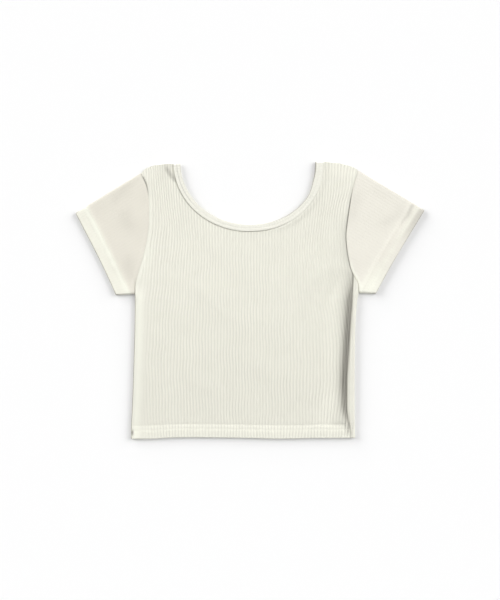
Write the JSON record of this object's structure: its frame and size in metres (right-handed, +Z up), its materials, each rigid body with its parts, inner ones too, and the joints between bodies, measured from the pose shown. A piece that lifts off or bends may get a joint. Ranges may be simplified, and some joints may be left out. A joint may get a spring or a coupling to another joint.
{
  "type": "short-sleeved crop top",
  "caption": "Cropped ribbed-knit top with short sleeves, a deep scoop neck with a bound edge and turned hems, laid flat with its front up.",
  "frame": {"origin": "centre of the bounding box on the surface that the garment lies on", "axes": "+X across the garment from the wearer's right sleeve to the left one, +Y from the lower hem to the neck, +Z up out of the front"},
  "size_m": [0.5491, 0.435, 0.0091],
  "materials": {
    "panel_knit": "matte ribbed knit, ivory",
    "sleeve_knit": "matte ribbed knit, ivory",
    "binding_knit": "matte knit binding, ivory"
  },
  "bodies": {
    "root": {"front_panel": "panel_knit", "back_panel": "panel_knit", "sleeve_left": "sleeve_knit", "sleeve_right": "sleeve_knit", "neck_binding": "binding_knit"}
  },
  "joints": []
}
